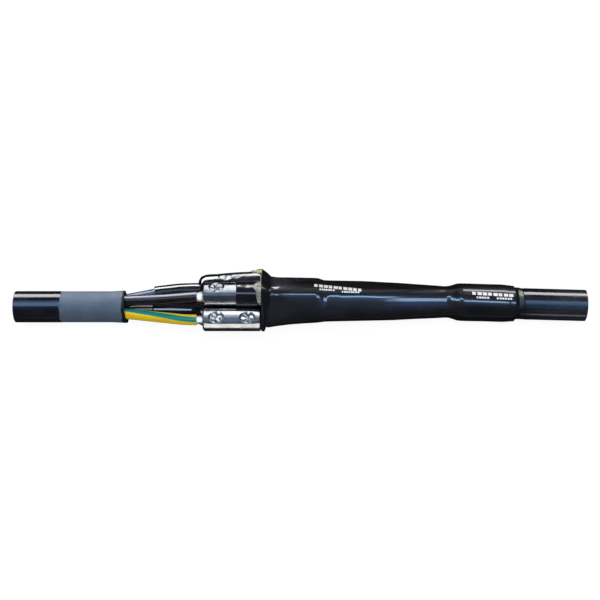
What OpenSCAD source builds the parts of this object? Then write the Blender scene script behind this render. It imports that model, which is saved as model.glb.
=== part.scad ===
// Straight heat shrink joint of a four-core cable, cut away over its left half.
// X runs along the cable from its left cut end, Y is across, Z is up. All sizes are in millimetres.

/* [Cable] */
// Length of the left cable, from its cut end to the mouth of its sheath
left_cable_l = 136.5; // [110:0.5:160]
// Length of the right cable, from its cut end to the mouth of its sheath
right_cable_l = 161; // [120:0.5:200]
// Outside diameter of both cables
cable_d = 39.2; // [37:0.1:44]
// Filling between the cores and the sheath where it is thinnest
core_margin = 0.5; // [0.2:0.1:0.8]
// Depth that abrading took off the sheath where the tube grips it
abrade_depth = 0.2; // [0.05:0.05:0.5]
// Length of the left cable that was left glossy
left_gloss_l = 57.5; // [30:0.5:90]
// Abraded sheath that shows between the bead and the glossy right cable
abraded_margin = 2.5; // [1:0.5:10]
// How far the mouth of the left sheath opens out
mouth_flare = 0.9; // [0:0.1:1.5]
// Length of the opened-out mouth
mouth_flare_l = 18; // [10:1:30]
// Chamfer cut round the mouth of the right sheath
mouth_chamfer = 0.9; // [0.4:0.1:1.4]
// How far the filling stops inside each sheath
filling_recess = 20; // [16:1:40]

/* [Cores] */
// Outside diameter of one insulated core
core_d = 13.2; // [12:0.1:13.8]
// Diameter of the bare conductor
conductor_d = 10; // [8:0.1:11]
// Filling between two neighbouring cores
core_spacing = 1.4; // [0.8:0.1:2]
// Radius that the exposed cores are bent to
left_bend_r = 80; // [40:5:110]
// Radius that the cores under the tube are bent to
right_bend_r = 42; // [30:2:50]
// Bare conductor that shows beside each connector
bare_l = 8; // [6.5:0.5:9]

/* [Connectors] */
// Outside diameter of a shear bolt connector
lug_d = 29; // [27:0.5:30]
// Length of a connector
lug_l = 71.6; // [66:0.2:76]
// Bore that takes the conductor
lug_bore = 16; // [15:0.5:18]
// Thickness of the stop between the two bores
lug_stop = 3; // [2:0.5:6]
// Chamfer at both ends of a connector
lug_chamfer = 2; // [1:0.25:2.5]
// Distance between the two bolts
bolt_pitch = 37.6; // [32:0.2:44]
// Diameter of a shear bolt
bolt_d = 13; // [11:0.5:14]
// Width of the countersink at the crest of the connector
sink_d = 19.8; // [17:0.2:22]
// Depth of the dimple in the sheared face of a bolt
dimple_h = 1.2; // [0.4:0.2:2]
// Where the middle of the connectors lies along the joint
lug_x = 271.8; // [268:0.2:276]
// Height of the blue connector
lower_z = -5.5; // [-7:0.1:-5]
// Gap between the two upper connectors, beside the sleeve on one of them
upper_gap = 0.2; // [0.1:0.05:1]
// Angle by which the blue connector lies outside the black one above it
blue_lean = 19.7; // [14:0.1:24]
// Angle by which the brown connector lies inside the bare one above it
brown_lean = 12.5; // [8:0.1:18]
// Angle by which the blue connector runs outward
blue_tilt = 4; // [2:0.5:5]

/* [Inner sleeves] */
// Wall of a sleeve where it grips a core
sleeve_core_wall = 2.7; // [1.5:0.1:3]
// Wall of a sleeve where it is stretched over a connector
sleeve_lug_wall = 1.8; // [1:0.1:1.8]
// Where the blue sleeve starts
blue_sleeve_x = 174.2; // [165:0.2:195]
// Where the brown sleeve starts
brown_sleeve_x = 171.5; // [165:0.2:195]
// How far past the middle of its connector the black sleeve was cut open
black_cut = 5.4; // [-4:0.2:24]
// Where all three sleeves end under the tube
sleeve_end_x = 378; // [365:1:385]

/* [Outer tube] */
// Wall of the shrunk tube
tube_wall = 3.9; // [3:0.1:4.5]
// Wall at the cut lip
lip_wall = 2.9; // [2:0.1:3.5]
// Inside radius of the lip round a sleeved connector
lip_r = 15.2; // [15:0.1:16]
// Inside radius of the lip round the bare connector
bare_lip_r = 11.6; // [10:0.2:13]
// Length of the tube over the right cable
collar_l = 71.5; // [50:0.5:80]

/* [Adhesive] */
// Length of the bead beyond the end of the tube
bead_l = 11; // [6:0.5:14]
// Height of the bead where it leaves the tube
bead_h = 2.6; // [1:0.1:3.2]
// Height of the squeeze-out at the lip
squeeze_h = 3; // [1:0.1:3.5]
// Length of the squeeze-out on the blue sleeve
back_squeeze_l = 12.5; // [6:0.5:16]
// Length of the squeeze-out on the black sleeve
front_squeeze_l = 8; // [4:0.5:12]

/* [Fits] */
// Play between the tube and what it is shrunk on
tube_gap = 0.25; // [0.2:0.05:0.5]
// Play between a sleeve and what it is shrunk on
sleeve_gap = 0.08; // [0.05:0.01:0.15]

/* [Hidden] */
$fn = 96;

// The cores are numbered in this order everywhere
BLUE = 0;
BLACK = 1;
BROWN = 2;
EARTH = 3;

core_r = core_d / 2;
conductor_r = conductor_d / 2;
cable_r = cable_d / 2;
abraded_r = cable_r - abrade_depth;
core_offset = core_r + core_spacing / 2;
filling_r = core_offset * sqrt(2) + core_r + core_margin;
right_gloss_l = right_cable_l - collar_l - bead_l - abraded_margin;
lug_r = lug_d / 2;
bolt_r = bolt_d / 2;
sink_r = sink_d / 2;
half_lug = lug_l / 2;
sleeved_r = lug_r + sleeve_lug_wall;
mouth_cut = min(mouth_chamfer, 0.6 * (abraded_r - filling_r));
mouth_cut_l = 3 * mouth_cut;
// The bolts press the conductor against the far wall of the bore
press = lug_bore / 2 - conductor_r;

// Sides of the swept cores and sleeves, and directions round the tube
core_sides = 14;
sleeve_sides = 18;
tube_sides = 44;
overlap_cut = 1;
// Small clearances: between parts that rest on each other, and from the connectors to the lip
touch_gap = 0.01;
lip_clear = 0.2;

// The right cable leaves a little askew
right_mouth = [550, 6, 0];
right_skew = -1.58;
tube_end_x = right_mouth.x + collar_l;
lip_x = lug_x + half_lug + lip_clear;

// Across and up for each core inside the cables
corner = [[1, -1], [1, 1], [-1, -1], [-1, 1]] * core_offset;
// Middle of each connector: the upper two side by side, each lower one resting under its own
upper_apart = lug_r + sleeved_r + upper_gap;
blue_reach = 2 * sleeved_r + touch_gap;
brown_gap = 0.64;
brown_reach = lug_r + sleeved_r + brown_gap;
upper_z = lower_z + blue_reach * cos(blue_lean);
upper_y = 0.1;
black_mid = [lug_x, upper_y + upper_apart / 2, upper_z];
earth_mid = [lug_x, upper_y - upper_apart / 2, upper_z];
lug_mid = [
    black_mid + blue_reach * [0, sin(blue_lean), -cos(blue_lean)], black_mid,
    earth_mid + brown_reach * [0, sin(brown_lean), -cos(brown_lean)], earth_mid
];
// How far the bolts of each lean from straight up toward +Y, and how far each is turned outward
lug_roll = [90, 42, 180, 12.4];
lug_tilt = [blue_tilt, 0, 0, 0];

// How far inside the left sheath the cores start to spread
spread_back = 10.5;
spread_x = left_cable_l - spread_back;
// Where the cores bend between the left sheath and their connectors, as shares of the way
// from one to the other: along, across and up, and how far the brown one bows across
left_bends = [
    [[0.24, 0.33, 0.22], [0.51, 0.74, 0.56], [0.79, 0.97, 0.94]],
    [[0.146, 0.03, 0.06], [0.646, 0.38, 0.61]],
    [[0.22, 0.22, 0.15, 4.6], [0.755, 0.755, 0.75, 3.9]],
    [[0.16, 0.16, 0.06]]
];
left_lead = [9, 14, 12, 22];

// The same between the connectors and the right sheath
right_bends = [
    [[0.072, 0.2, 0], [0.265, 0.284, 0.11], [0.5, 0.367, 0.28], [0.71, 0.564, 0.555], [0.89, 0.82, 0.83]],
    [[0.135, 0.54, 0.15], [0.66, 1.11, 0.66]],
    [[0.135, 0.3, 0.06], [0.66, 0.746, 0.56]],
    [[0.135, 0.377, 0.15], [0.28, 0.59, 0.285], [0.66, 0.71, 0.69]]
];
right_lead = 5;
right_seat = 2;

// Vectors
function unit(v) = v / norm(v);
function mix(a, b, t) = a + (b - a) * t;
function turn_z(v, a) = [v.x * cos(a) - v.y * sin(a), v.x * sin(a) + v.y * cos(a), v.z];

// A point of connector i: so far along it from its middle, and so far out toward its bolts
function on_lug(i, along, out) = lug_mid[i]
    + turn_z([along, out * sin(lug_roll[i]), out * cos(lug_roll[i])], lug_tilt[i]);
// A point in the right cable: so far from the mouth of the sheath, across and up
function in_right(s, across, up) = right_mouth + turn_z([s, across, up], right_skew);

// The line of each core as its ends and the corners where it bends
function bow(s) = len(s) > 3 ? s[3] : 0;
function bent(a, b, shares) = concat(
    [a], [for (s = shares) [mix(a.x, b.x, s.x), mix(a.y, b.y, s.y) + bow(s), mix(a.z, b.z, s.z)]], [b]
);
function left_line(i) = concat(
    [[0, corner[i].x, corner[i].y]],
    bent([spread_x, corner[i].x, corner[i].y], on_lug(i, -half_lug - left_lead[i], -press), left_bends[i]),
    [on_lug(i, -lug_stop / 2, -press)]
);
function right_line(i) = concat(
    [on_lug(i, lug_stop / 2, -press)],
    bent(on_lug(i, half_lug + right_lead, -press), in_right(right_seat, corner[i].x, corner[i].y),
        right_bends[i]),
    [in_right(right_cable_l, corner[i].x, corner[i].y)]
);

// Stations [point, direction] along a line, with each corner eased by two rings
function heading(p, i) = unit(p[i + 1] - p[i]);
function ease(p, i, bend_r) = bend_r * tan(acos(min(1, heading(p, i - 1) * heading(p, i))) / 2);
function stations(p, bend_r) = concat(
    [[p[0], heading(p, 0)]],
    [for (i = [1:len(p) - 2], side = [-1, 1])
        let (h = heading(p, side < 0 ? i - 1 : i), m = unit(heading(p, i - 1) + heading(p, i)))
        [p[i] + h * side * ease(p, i, bend_r), unit(h + m)]],
    [[p[len(p) - 1], heading(p, len(p) - 2)]]
);

// The station at height x of a run of stations, and the part of the run between two of them
function leg_at(s, x) = max([for (k = [0:len(s) - 2]) if (k == 0 || s[k][0].x <= x) k]);
function station_at(s, x) =
    let (k = leg_at(s, x), t = (x - s[k][0].x) / (s[k + 1][0].x - s[k][0].x))
    [mix(s[k][0], s[k + 1][0], t), unit(mix(s[k][1], s[k + 1][1], t))];
function between(s, x0, x1) = concat(
    [station_at(s, x0)], [for (v = s) if (v[0].x > x0 + 0.5 && v[0].x < x1 - 0.5) v], [station_at(s, x1)]
);

// One ring of points square to a station
function ring(v, r, sides) =
    let (across = unit(cross([0, 0, 1], v[1])), up = cross(v[1], across))
    [for (k = [0:sides - 1]) v[0] + r * (cos(360 * k / sides) * across + sin(360 * k / sides) * up)];

// A solid between rings, and a hollow one between outer and inner rings
function joined(lists) = [for (l = lists, p = l) p];
module rod(rings) {
    n = len(rings[0]);
    m = len(rings);
    sides = [for (i = [0:m - 2], k = [0:n - 1])
        [i * n + k, (i + 1) * n + k, (i + 1) * n + (k + 1) % n, i * n + (k + 1) % n]];
    start = [for (k = [0:n - 1]) k];
    end = [for (k = [n - 1:-1:0]) (m - 1) * n + k];
    polyhedron(joined(rings), concat(sides, [start, end]));
}
module pipe(outer, inner) {
    n = len(outer[0]);
    m = len(outer);
    o = m * n;
    outside = [for (i = [0:m - 2], k = [0:n - 1])
        [i * n + k, (i + 1) * n + k, (i + 1) * n + (k + 1) % n, i * n + (k + 1) % n]];
    inside = [for (f = outside) [o + f[3], o + f[2], o + f[1], o + f[0]]];
    start = [for (k = [0:n - 1]) [k, (k + 1) % n, o + (k + 1) % n, o + k]];
    end = [for (f = start) [for (j = [3:-1:0]) f[j] + (m - 1) * n]];
    polyhedron(joined(concat(outer, inner)), concat(outside, inside, start, end));
}

// Turns what was made along Z so that it lies along X
module along_x() {
    rotate([0, 90, 0]) children();
}

// Cable ends
module sheath(l, gloss_l, mouth) {
    along_x() rotate_extrude()
        polygon(concat(
            [[filling_r, 0], [cable_r, 0], [cable_r, gloss_l], [abraded_r, gloss_l]], mouth
        ));
}
module filling(l) {
    difference() {
        along_x() cylinder(h = l - filling_recess, r = filling_r);
        for (c = corner)
            translate([-overlap_cut, c.x, c.y]) along_x() cylinder(h = l + overlap_cut, r = core_r);
    }
}
// Places a cable end that was made from x = 0 on, so that its mouth meets the right cores
module on_right() {
    translate(in_right(right_cable_l, 0, 0)) rotate([0, 0, right_skew]) mirror([1, 0, 0]) children();
}
module left_sheath() {
    color([0.05, 0.05, 0.07]) sheath(left_cable_l, left_gloss_l, [
        [abraded_r, left_cable_l - mouth_flare_l], [abraded_r + mouth_flare, left_cable_l],
        [filling_r + mouth_flare, left_cable_l], [filling_r, left_cable_l - mouth_flare_l]
    ]);
}
module left_filling() {
    color([0.16, 0.16, 0.17]) filling(left_cable_l);
}
module right_sheath() {
    color([0.05, 0.05, 0.07]) on_right() sheath(right_cable_l, right_gloss_l, [
        [abraded_r, right_cable_l - mouth_cut_l], [abraded_r - mouth_cut, right_cable_l],
        [filling_r, right_cable_l]
    ]);
}
module right_filling() {
    color([0.16, 0.16, 0.17]) on_right() filling(right_cable_l);
}

// Cores and conductors
core_colour = [[0.12, 0.25, 0.62], [0.06, 0.06, 0.07], [0.33, 0.17, 0.09], [0.2, 0.6, 0.3]];
function left_stations(i) = stations(left_line(i), left_bend_r);
function right_stations(i) = stations(right_line(i), right_bend_r);
left_strip_x = lug_x - half_lug - bare_l;
right_strip_x = lug_x + half_lug + bare_l;
module swept_core(run) {
    pipe([for (v = run) ring(v, core_r, core_sides)], [for (v = run) ring(v, conductor_r, core_sides)]);
}
module swept_conductor(run) {
    color([0.86, 0.86, 0.88]) rod([for (v = run) ring(v, conductor_r, core_sides)]);
}
module left_core(i) {
    color(core_colour[i]) swept_core(between(left_stations(i), 0, left_strip_x));
}
module right_core(i) {
    run = right_stations(i);
    past = [for (v = run) if (v[0].x > right_strip_x + 0.5) v];
    color(core_colour[i]) swept_core(concat([station_at(run, right_strip_x)], past));
}
module left_conductor(i) {
    swept_conductor(left_stations(i));
}
module right_conductor(i) {
    swept_conductor(right_stations(i));
}

// Shear bolt connectors, made along X round their middle with the bolts pointing up
bore_l = (lug_l - lug_stop) / 2;
sink_h = sink_r - bolt_r;
module at_lug(i) {
    translate(lug_mid[i]) rotate([-lug_roll[i], 0, lug_tilt[i]]) children();
}
module at_bolts() {
    for (side = [-1, 1]) translate([side * bolt_pitch / 2, 0, 0]) children();
}
module connector(i) {
    color([0.72, 0.72, 0.76]) at_lug(i) difference() {
        translate([-half_lug, 0, 0]) along_x() rotate_extrude()
            polygon([
                [0, 0], [lug_r - lug_chamfer, 0], [lug_r, lug_chamfer],
                [lug_r, lug_l - lug_chamfer], [lug_r - lug_chamfer, lug_l], [0, lug_l]
            ]);
        for (side = [-1, 1])
            translate([side * (half_lug - bore_l / 2 + overlap_cut / 2), 0, 0])
                along_x() cylinder(h = bore_l + overlap_cut, r = lug_bore / 2, center = true);
        at_bolts() cylinder(h = lug_d, r = bolt_r);
        at_bolts() translate([0, 0, lug_r - sink_h])
            cylinder(h = sink_h + overlap_cut, r1 = bolt_r, r2 = sink_r + overlap_cut);
    }
}
// What is left of a bolt after its head sheared off at the foot of the countersink
module bolt_stub() {
    foot = conductor_r - press;
    difference() {
        translate([0, 0, foot]) cylinder(h = lug_r - sink_h - foot, r = bolt_r);
        translate([0, 0, lug_r - sink_h - dimple_h]) cylinder(h = dimple_h * 2, r1 = 0, r2 = dimple_h * 4);
    }
}
module shear_bolts() {
    color([0.62, 0.64, 0.68]) for (i = [BLUE, BLACK, BROWN, EARTH]) at_lug(i) at_bolts() bolt_stub();
}

// Inner sleeves: the shoulder at each connector end, from the core up onto the connector.
// Each row is the distance off the end face, then how far the middle, outside and inside have risen
shoulder_l = 10;
face_rise = 1 - 0.8 * lug_chamfer / (lug_r - core_r);
shoulder = [
    [shoulder_l, 0, 0, 0], [0.4 * shoulder_l, 0.35, 0.3, 0.2],
    [0.3, face_rise + 0.05, face_rise - 0.08, face_rise],
    [0.1 - lug_chamfer, 1, 0.93, 1], [-0.6 * shoulder_l, 1, 1, 1]
];
function lug_station(i, along) = [on_lug(i, along, 0), turn_z([1, 0, 0], lug_tilt[i])];
function risen_station(i, along, rise) =
    let (lug = lug_station(i, along), run = along < 0 ? left_stations(i) : right_stations(i))
    let (core = station_at(run, lug[0].x))
    [mix(core[0], lug[0], rise), unit(mix(core[1], lug[1], rise))];
function on_core(run, wall_r) = [for (v = run) [v, wall_r, core_r + sleeve_gap]];
function shoulder_rings(i, side) = [for (k = side < 0 ? [0:4] : [4:-1:0])
    let (row = shoulder[k])
    [
        risen_station(i, side * (half_lug + row[0]), row[1]),
        mix(core_r + sleeve_core_wall, sleeved_r, row[2]),
        mix(core_r, lug_r, row[3]) + sleeve_gap
    ]];
module sleeve_between(steps) {
    color([0.07, 0.07, 0.09]) pipe(
        [for (s = steps) ring(s[0], s[1], sleeve_sides)],
        [for (s = steps) ring(s[0], s[2] / cos(180 / sleeve_sides), sleeve_sides)]
    );
}
function sleeve_left(i, x0) = on_core(
    between(left_stations(i), x0, lug_x - half_lug - shoulder_l - 0.6), core_r + sleeve_core_wall
);
function sleeve_right(i) = on_core(
    between(right_stations(i), lug_x + half_lug + shoulder_l + 0.6, sleeve_end_x),
    core_r + sleeve_core_wall
);
module full_sleeve(i, x0) {
    sleeve_between(concat(
        sleeve_left(i, x0), shoulder_rings(i, -1), shoulder_rings(i, 1), sleeve_right(i)
    ));
}
module sleeve_blue() {
    full_sleeve(BLUE, blue_sleeve_x);
}
module sleeve_brown() {
    full_sleeve(BROWN, brown_sleeve_x);
}
module sleeve_black() {
    cut = [lug_station(BLACK, black_cut), sleeved_r, lug_r + sleeve_gap];
    sleeve_between(concat([cut], shoulder_rings(BLACK, 1), sleeve_right(BLACK)));
}

// Outer tube: at each station it is the taut skin round four discs, one for each core.
// A disc is [across, up, radius]
strip_clear = 0.6;
strip_edge_x = right_strip_x - strip_clear;
bare_hold_x = mix(lip_x, strip_edge_x, 0.49);
bare_fade_x = mix(lip_x, strip_edge_x, 0.79);
lip_fade_x = strip_edge_x + 4.3;
function clamp01(t) = max(0, min(1, t));
function lip_share(i, x) = i == EARTH
    ? clamp01((x - bare_hold_x) / (bare_fade_x - bare_hold_x)) : clamp01((x - lip_x) / (lip_fade_x - lip_x));
function core_cover(i, x) = i == EARTH
    ? (x < strip_edge_x ? conductor_r + strip_clear : core_r)
    : core_r + sleeve_core_wall * clamp01((sleeve_end_x + 5 - x) / 4);
function core_disc(i, x) =
    let (c = station_at(right_stations(i), x)[0], t = lip_share(i, x))
    let (m = mix([lug_mid[i].y + (x - lug_x) * tan(lug_tilt[i]), lug_mid[i].z], [c.y, c.z], t))
    [m.x, m.y, mix(i == EARTH ? bare_lip_r : lip_r, core_cover(i, x), t)];
function axis_y(x) = right_mouth.y + (x - right_mouth.x) * tan(right_skew);
mouth_edge_x = right_mouth.x - 0.7;
chamfer_end_x = mouth_edge_x + mouth_cut_l;
function discs(x) = x < mouth_edge_x ? [for (i = [BLUE, BLACK, BROWN, EARTH]) core_disc(i, x)]
    : [[axis_y(x), 0, abraded_r - mouth_cut * clamp01((chamfer_end_x - x) / mouth_cut_l)]];
function skin_point(ds, u, x, wall) =
    let (h = [for (d = ds) d.x * u.x + d.y * u.y + d.z])
    let (best = [for (k = [0:len(ds) - 1]) if (h[k] == max(h)) k][0])
    [x, ds[best].x + u.x * (ds[best].z + wall), ds[best].y + u.y * (ds[best].z + wall)];
function skin(x, wall) = [for (k = [0:tube_sides - 1])
    skin_point(discs(x), [cos(360 * k / tube_sides), sin(360 * k / tube_sides)], x, wall)];
full_wall_l = 40;
function wall_at(x) =
    lookup((x - lip_x) / full_wall_l, [[0, lip_wall], [0.6, mix(lip_wall, tube_wall, 0.7)], [1, tube_wall]]);
function on_way(shares) = [for (t = shares) mix(lip_x, right_mouth.x, t)];
tube_stations = concat(
    [lip_x, bare_hold_x, bare_fade_x, strip_edge_x, lip_fade_x], on_way([0.09, 0.155, 0.215]),
    [sleeve_end_x + 1, sleeve_end_x + 5], on_way([0.4, 0.51, 0.61, 0.67, 0.72, 0.815, 0.9, 0.95]),
    [mouth_edge_x, chamfer_end_x, mix(right_mouth.x, tube_end_x, 0.5), tube_end_x]
);
module outer_tube() {
    color([0.08, 0.08, 0.1]) pipe(
        [for (x = tube_stations) skin(x, tube_gap + wall_at(x))],
        [for (x = tube_stations) skin(x, tube_gap)]
    );
}

// Adhesive pads squeezed out at the lip: thickest at the lip, thinning to a curved edge
pad_rows = 5;
pad_columns = 8;
// Where each pad starts and ends round its connector, from straight up toward +Y
back_arc = [48, 106];
front_arc = [-54, 64];
module slab(rings) {
    n = len(rings[0]);
    m = len(rings);
    sides = [for (i = [0:m - 2], k = [0:n - 1])
        [i * n + k, (i + 1) * n + k, (i + 1) * n + (k + 1) % n, i * n + (k + 1) % n]];
    start = [for (k = [0:n / 2 - 2]) [k, k + 1, n - 2 - k, n - 1 - k]];
    end = [for (f = start) [for (j = [3:-1:0]) f[j] + (m - 1) * n]];
    polyhedron(joined(rings), concat(sides, start, end));
}
function pad_point(i, a, along, r) = on_lug(i, along, 0)
    + turn_z([0, r * sin(a), r * cos(a)], lug_tilt[i]);
module pad(i, arc, l, h, skew) {
    base_r = sleeved_r + touch_gap;
    edge = (lip_x - lug_x - 0.1) / cos(lug_tilt[i]);
    rows = [for (k = [0:pad_columns])
        let (t = k / pad_columns, s = sin(180 * pow(t, skew)), a = mix(arc[0], arc[1], t))
        [for (j = [0:pad_rows]) let (u = j / pad_rows)
            [a, edge - (1 + (l - 1) * s) * u, 0.15 + h * (0.25 + 0.75 * s) * pow(cos(90 * u), 0.7)]]];
    outer = [for (row = rows) concat(
        [for (p = row) pad_point(i, p[0], p[1], base_r + p[2])],
        [for (j = [pad_rows:-1:0]) pad_point(i, row[j][0], row[j][1], base_r)]
    )];
    color([0.72, 0.7, 0.45]) slab(outer);
}
module adhesive_lip_top() {
    pad(BLUE, back_arc, back_squeeze_l, squeeze_h, 1);
}
module adhesive_lip_front() {
    pad(BLACK, front_arc, front_squeeze_l, squeeze_h * 0.7, 1.7);
}

// Bead that ran out of the tube onto the right cable, widest at the back and front
bead_rows = [[0, 1], [0.3, 0.95], [0.65, 0.6], [1, 0.05]];
bead_back = 115;
bead_sides = 36;
bead_r = (abraded_r + touch_gap) / cos(180 / bead_sides);
function bead_ring(row, full) = [for (k = [0:bead_sides - 1])
    let (a = 360 * k / bead_sides, s = 0.62 + 0.38 * cos(a - bead_back))
    let (x = tube_end_x + touch_gap + row[0] * bead_l * s, r = bead_r + (full ? bead_h * row[1] * s : 0))
    [x, axis_y(x) + r * cos(a), r * sin(a)]];
module adhesive_bead() {
    color([0.72, 0.7, 0.45]) pipe(
        [for (row = bead_rows) bead_ring(row, true)], [for (row = bead_rows) bead_ring(row, false)]
    );
}

left_sheath();
left_filling();
right_sheath();
right_filling();
left_core(BLUE);  // left_core_blue
left_core(BLACK);  // left_core_black
left_core(BROWN);  // left_core_brown
left_core(EARTH);  // left_core_earth
left_conductor(BLUE);  // left_conductor_blue
left_conductor(BLACK);  // left_conductor_black
left_conductor(BROWN);  // left_conductor_brown
left_conductor(EARTH);  // left_conductor_earth
right_core(BLUE);  // right_core_blue
right_core(BLACK);  // right_core_black
right_core(BROWN);  // right_core_brown
right_core(EARTH);  // right_core_earth
right_conductor(BLUE);  // right_conductor_blue
right_conductor(BLACK);  // right_conductor_black
right_conductor(BROWN);  // right_conductor_brown
right_conductor(EARTH);  // right_conductor_earth
connector(BLUE);  // connector_blue
connector(BLACK);  // connector_black
connector(BROWN);  // connector_brown
connector(EARTH);  // connector_earth
shear_bolts();
sleeve_blue();
sleeve_black();
sleeve_brown();
outer_tube();
adhesive_lip_top();
adhesive_lip_front();
adhesive_bead();
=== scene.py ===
# Straight heat shrink joint of a four-core cable, cut away over its left half
import math

import bmesh
import bpy
from mathutils import Matrix, Vector, noise


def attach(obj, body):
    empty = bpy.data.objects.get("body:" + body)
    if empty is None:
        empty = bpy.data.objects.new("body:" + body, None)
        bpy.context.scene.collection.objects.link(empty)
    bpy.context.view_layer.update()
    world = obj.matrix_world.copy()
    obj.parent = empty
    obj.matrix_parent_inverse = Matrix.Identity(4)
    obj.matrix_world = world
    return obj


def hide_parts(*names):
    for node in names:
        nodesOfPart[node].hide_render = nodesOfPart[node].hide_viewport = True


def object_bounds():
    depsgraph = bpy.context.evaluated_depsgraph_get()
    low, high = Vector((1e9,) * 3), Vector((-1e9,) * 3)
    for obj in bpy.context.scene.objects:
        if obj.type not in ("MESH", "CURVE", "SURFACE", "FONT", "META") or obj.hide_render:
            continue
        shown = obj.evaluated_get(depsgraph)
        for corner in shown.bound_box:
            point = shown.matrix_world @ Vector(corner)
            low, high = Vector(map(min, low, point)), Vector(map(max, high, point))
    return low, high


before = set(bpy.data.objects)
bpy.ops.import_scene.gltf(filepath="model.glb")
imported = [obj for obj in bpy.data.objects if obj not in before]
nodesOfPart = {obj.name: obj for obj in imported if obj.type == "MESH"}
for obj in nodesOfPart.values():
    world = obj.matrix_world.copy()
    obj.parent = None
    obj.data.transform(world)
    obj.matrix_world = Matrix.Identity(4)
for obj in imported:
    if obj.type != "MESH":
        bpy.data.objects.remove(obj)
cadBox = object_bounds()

mm = 0.001
weldDistance = 0.002 * mm

# What the pieces share: lines of the cores, connectors, lip and collar, in millimetres
joint = {
    "coreRadius": 6.6, "conductorRadius": 5.0, "abradedRadius": 19.4, "lugLength": 71.6, "lugX": 271.8,
    "boltPitch": 37.6, "stripLeftX": 228.0, "stripRightX": 315.6, "leftBend": 80.0, "rightBend": 42.0,
    "lineStep": 2.5, "cornerShare": 0.49, "closest": 0.05, "endGap": 0.3, "lipX": 307.8,
    "collarStartX": 550.0, "tubeEndX": 621.5, "rightMouthY": 6.0, "rightSkew": -1.58,
}
lugs = {
    "blue": {"mid": (271.8, 26.593, -5.5), "roll": 90, "tilt": 4},
    "black": {"mid": (271.8, 15.6, 25.201), "roll": 42, "tilt": 0},
    "brown": {"mid": (271.8, -8.595, -5.493), "roll": 180, "tilt": 0},
    "earth": {"mid": (271.8, -15.4, 25.201), "roll": 12.4, "tilt": 0},
}
leftCorners = {
    "blue": [(0, 7.3, -7.3), (126, 7.3, -7.3), (150.316, 11.648, -6.904), (177.672, 17.049, -6.292),
             (206.042, 20.08, -5.608), (227.318, 20.475, -5.5), (270.513, 23.495, -5.5)],
    "black": [(0, 7.3, 7.3), (126, 7.3, 7.3), (140.016, 7.489, 8.24), (188.016, 9.4, 16.86),
              (222, 11.9, 22.972), (233, 12.3, 22.972), (245, 13.593, 22.972), (270.3, 13.593, 22.972)],
    "brown": [(0, -7.3, -7.3), (126, -7.3, -7.3), (147.56, -3.1, -6.579), (205, -3.7, -3.6),
              (230, -3.8, -2.5), (241, -8.595, -2.493), (270.3, -8.595, -2.493)],
    "earth": [(0, -7.3, 7.3), (126, -7.3, 7.3), (140.08, -8.699, 8.198), (214, -16.044, 22.271),
              (270.3, -16.044, 22.271)],
}
rightCorners = {
    "blue": [(273.506, 23.705, -5.5), (312.71, 26.446, -5.5), (329.953, 23.805, -5.5),
             (376.175, 22.696, -5.698), (432.455, 21.6, -6.004), (482.748, 18.999, -6.499),
             (525.857, 15.619, -6.994), (552.201, 13.242, -7.3), (711.14, 8.858, -7.3)],
    "black": [(273.3, 13.593, 22.972), (312.6, 13.593, 22.972), (344.946, 13.403, 20.621),
              (470.736, 13.204, 12.629), (552.201, 13.242, 7.3), (711.14, 8.858, 7.3)],
    "brown": [(273.3, -8.595, -2.493), (312.6, -8.595, -2.493), (344.892, -6.422, -2.782),
              (470.471, -3.192, -5.185), (551.798, -1.352, -7.3), (710.738, -5.736, -7.3)],
    "earth": [(273.3, -16.044, 22.271), (312.6, -16.044, 22.271), (344.892, -10.505, 20.026),
              (379.575, -7.376, 18.005), (470.471, -5.613, 11.941), (551.798, -1.352, 7.3),
              (710.738, -5.736, 7.3)],
}


def clamp01(t):
    return max(0.0, min(1.0, t))


def ease(t):
    t = clamp01(t)
    return t * t * (3 - 2 * t)


def easeBetween(x, start, end):
    return ease((x - start) / (end - start))


def between(a, b, share):
    return a + (b - a) * share


# Value at x of rows of (x, value), straight between them
def along(rows, x):
    if x <= rows[0][0]:
        return rows[0][1]
    for (x0, v0), (x1, v1) in zip(rows, rows[1:]):
        if x <= x1:
            return between(v0, v1, (x - x0) / (x1 - x0))
    return rows[-1][1]


# Points along a line whose corners are rounded, at most a step apart
def easedLine(corners, bendRadius, step):
    corners = [Vector(p) for p in corners]
    stops = [corners[0]]
    for before, corner, after in zip(corners, corners[1:], corners[2:]):
        arrive, leave = (corner - before).normalized(), (after - corner).normalized()
        reach = min(bendRadius * math.tan(arrive.angle(leave, 0) / 2),
                    joint["cornerShare"] * min((corner - before).length, (after - corner).length))
        a, b = corner - arrive * reach, corner + leave * reach
        stops += [a.lerp(corner, t).lerp(corner.lerp(b, t), t) for t in (0, 0.25, 0.5, 0.75, 1)]
    stops.append(corners[-1])
    points = [stops[0]]
    for stop in stops[1:]:
        gap = stop - points[-1]
        if gap.length < joint["closest"]:
            continue
        start = points[-1]
        pieces = max(1, math.ceil(gap.length / step))
        points += [start + gap * (k / pieces) for k in range(1, pieces + 1)]
    return points


def lineAt(points, x):
    for a, b in zip(points, points[1:]):
        if x <= b.x or b is points[-1]:
            return a.lerp(b, (x - a.x) / (b.x - a.x))


def cutLine(points, x0, x1):
    inside = [p for p in points if x0 + joint["endGap"] < p.x < x1 - joint["endGap"]]
    return [lineAt(points, x0)] + inside + [lineAt(points, x1)]


def heading(points, k):
    return (points[min(k + 1, len(points) - 1)] - points[max(k - 1, 0)]).normalized()


def lugPoint(core, alongLug, out):
    lug = lugs[core]
    roll, tilt = math.radians(lug["roll"]), math.radians(lug["tilt"])
    x, y, z = alongLug, out * math.sin(roll), out * math.cos(roll)
    return Vector(lug["mid"]) + Vector(
        (x * math.cos(tilt) - y * math.sin(tilt), x * math.sin(tilt) + y * math.cos(tilt), z))


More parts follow.
